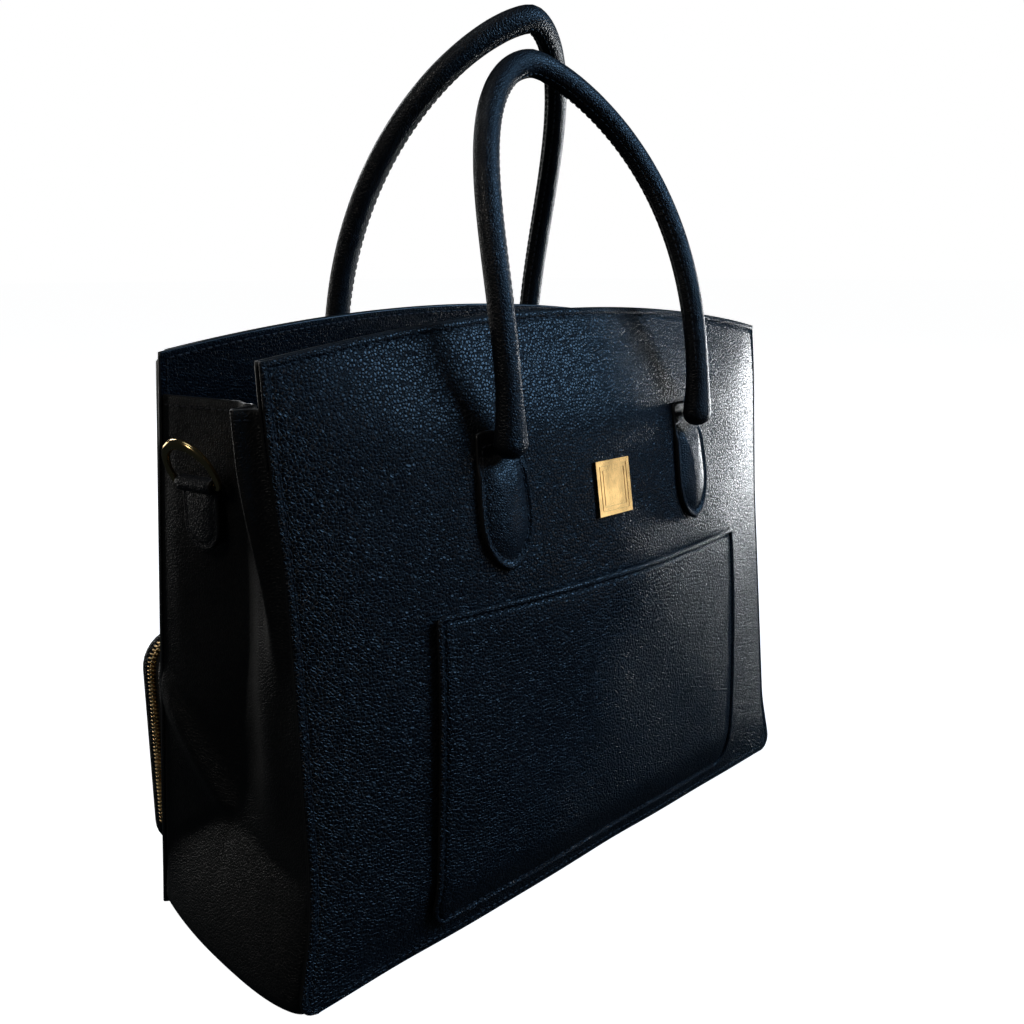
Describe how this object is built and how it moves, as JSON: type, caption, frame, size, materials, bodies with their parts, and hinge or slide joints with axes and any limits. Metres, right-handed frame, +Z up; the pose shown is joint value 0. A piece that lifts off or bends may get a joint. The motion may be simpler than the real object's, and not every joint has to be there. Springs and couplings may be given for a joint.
{
  "type": "insulated cooler bag",
  "caption": "Black leather work tote with two rolled handles and a zip-round insulated cooler pocket low on its back that opens on a fold-down flap.",
  "frame": {"origin": "on the resting face, under the middle of the body between the front and back panels", "axes": "+X to the right of somebody who faces the front panel, +Y from the front panel to the back, +Z up"},
  "size_m": [0.4469, 0.189, 0.4918],
  "materials": {
    "pebbled_leather": "black pebbled synthetic leather, semi-gloss",
    "stiffener": "grey-brown stiffening board",
    "lining": "dark woven polyester lining",
    "handle_core": "twisted cotton cord",
    "foam": "closed-cell foam",
    "silver_foil": "crinkled silver insulation film",
    "flap_lining": "smooth grey-brown wipe-clean film",
    "zip_tape": "black woven zip tape",
    "gold_zip": "gold-plated metal zip",
    "gold_metal": "polished gold plating",
    "webbing": "black woven webbing"
  },
  "bodies": {
    "bag": {"front_panel": "pebbled_leather", "front_stiffener": "stiffener", "front_lining": "lining", "back_panel": "pebbled_leather", "back_stiffener": "stiffener", "back_lining": "lining", "left_gusset": "pebbled_leather", "right_gusset": "pebbled_leather", "left_gusset_lining": "lining", "right_gusset_lining": "lining", "base_panel": "pebbled_leather", "base_board": "stiffener", "base_lining": "lining", "front_pocket": "pebbled_leather", "name_plate": "gold_metal", "front_left_tab": "pebbled_leather", "front_right_tab": "pebbled_leather", "back_left_tab": "pebbled_leather", "back_right_tab": "pebbled_leather", "left_ring_tab": "pebbled_leather", "right_ring_tab": "pebbled_leather", "trolley_band": "pebbled_leather", "cooler_wall": "pebbled_leather", "cooler_insulation": "foam", "cooler_foil": "silver_foil", "cooler_cover": "lining", "body_zip_tape": "zip_tape", "body_zip_teeth": "gold_zip", "flap_hinge": "pebbled_leather"},
    "front_handle": {"front_handle": "pebbled_leather", "front_handle_core": "handle_core"},
    "back_handle": {"back_handle": "pebbled_leather", "back_handle_core": "handle_core"},
    "left_ring": {"left_d_ring": "gold_metal"},
    "right_ring": {"right_d_ring": "gold_metal"},
    "cooler_flap": {"flap_zip_tape": "zip_tape", "flap_zip_teeth": "gold_zip", "flap_panel": "pebbled_leather", "flap_border": "pebbled_leather", "flap_foam": "foam", "flap_lining": "flap_lining"},
    "zip_slider": {"zip_slider": "gold_zip"},
    "zip_pull": {"zip_pull": "gold_zip"},
    "upper_hook": {"upper_hook": "gold_metal"},
    "upper_gate": {"upper_hook_gate": "gold_metal"},
    "strap": {"upper_hook_eye": "gold_metal", "upper_strap_tab": "pebbled_leather", "strap_hank": "webbing", "strap_tie": "webbing", "lower_strap_tab": "pebbled_leather", "lower_hook_eye": "gold_metal"},
    "lower_hook": {"lower_hook": "gold_metal"},
    "lower_gate": {"lower_hook_gate": "gold_metal"}
  },
  "joints": [
    {"name": "front_handle_fold", "type": "hinge", "parent": "bag", "child": "front_handle", "pos_m": [0, -0.08338, 0.266], "axis": [1, 0, 0], "range_deg": [0, 150]},
    {"name": "back_handle_fold", "type": "hinge", "parent": "bag", "child": "back_handle", "pos_m": [0, 0.05889, 0.266], "axis": [-1, 0, 0], "range_deg": [0, 140]},
    {"name": "flap_fold", "type": "hinge", "parent": "bag", "child": "cooler_flap", "pos_m": [0, 0.0844, 0.019], "axis": [-1, 0, 0], "range_deg": [0, 93.5]},
    {"name": "zip_travel", "type": "slide", "parent": "bag", "child": "zip_slider", "axis": [0, 0, 1], "range_m": [0, 0.08]},
    {"name": "pull_swing", "type": "hinge", "parent": "zip_slider", "child": "zip_pull", "pos_m": [0.203, 0.0844, 0.045], "axis": [0, -1, 0], "range_deg": [0, 150]},
    {"name": "left_ring_swing", "type": "hinge", "parent": "bag", "child": "left_ring", "pos_m": [-0.2034, 0.012, 0.25], "axis": [0.1392, -0.9903, 0], "range_deg": [0, 109]},
    {"name": "right_ring_swing", "type": "hinge", "parent": "bag", "child": "right_ring", "pos_m": [0.2034, 0.012, 0.25], "axis": [-0.1392, -0.9903, 0], "range_deg": [0, 100]},
    {"name": "hook_swing", "type": "hinge", "parent": "right_ring", "child": "upper_hook", "pos_m": [0.21864, 0.00986, 0.23291], "axis": [0.1392, 0.9903, 0], "range_deg": [0, 100]},
    {"name": "upper_gate_press", "type": "hinge", "parent": "upper_hook", "child": "upper_gate", "pos_m": [0.22498, 0.00897, 0.21526], "axis": [-0.1392, -0.9903, 0], "range_deg": [0, 18], "stiffness_Nm_per_rad": 0.01, "springref_deg": -17.19},
    {"name": "strap_swivel", "type": "hinge", "parent": "upper_hook", "child": "strap", "pos_m": [0.21864, 0.00986, 0.20726], "axis": [0, 0, 1], "range_deg": [0, 12]},
    {"name": "lower_hook_swivel", "type": "hinge", "parent": "strap", "child": "lower_hook", "pos_m": [0.21864, 0.00986, 0.03526], "axis": [0, 0, 1], "continuous": true},
    {"name": "lower_gate_press", "type": "hinge", "parent": "lower_hook", "child": "lower_gate", "pos_m": [0.22498, 0.00897, 0.02726], "axis": [0.1392, 0.9903, 0], "range_deg": [0, 18], "stiffness_Nm_per_rad": 0.01, "springref_deg": -17.19}
  ],
  "couplings": [
    {"joint": "hook_swing", "follows": "right_ring_swing", "ratio": 1}
  ]
}
